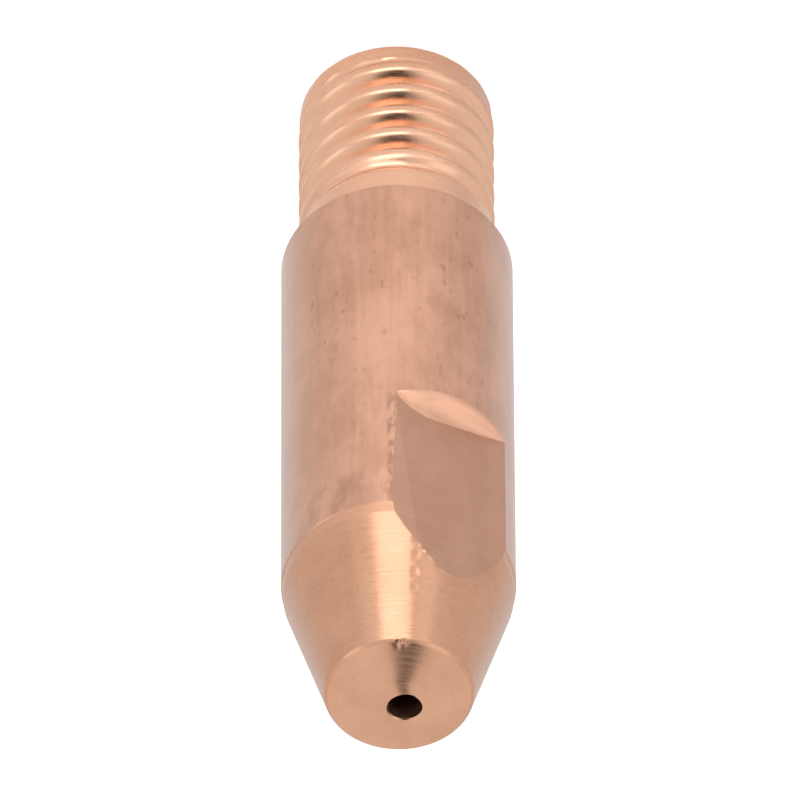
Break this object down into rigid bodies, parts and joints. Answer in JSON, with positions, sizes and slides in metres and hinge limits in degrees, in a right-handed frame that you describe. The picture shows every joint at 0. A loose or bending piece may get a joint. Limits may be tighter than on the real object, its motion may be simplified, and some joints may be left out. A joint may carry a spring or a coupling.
{
  "type": "welding contact tip",
  "caption": "Turned copper welding contact tip with a rolled thread, plain body, two spanner flats and a conical nose that guides and feeds current to the wire.",
  "frame": {"origin": "centre of the threaded end's flat face, on which the tip stands", "axes": "+Z along the tip's axis from the thread towards the nose, +X along the normal of one spanner flat"},
  "size_m": [0.007, 0.007, 0.027],
  "materials": {
    "bare_copper": "bare drawn and turned copper, satin"
  },
  "bodies": {
    "root": {"contact_tip": "bare_copper"}
  },
  "joints": []
}
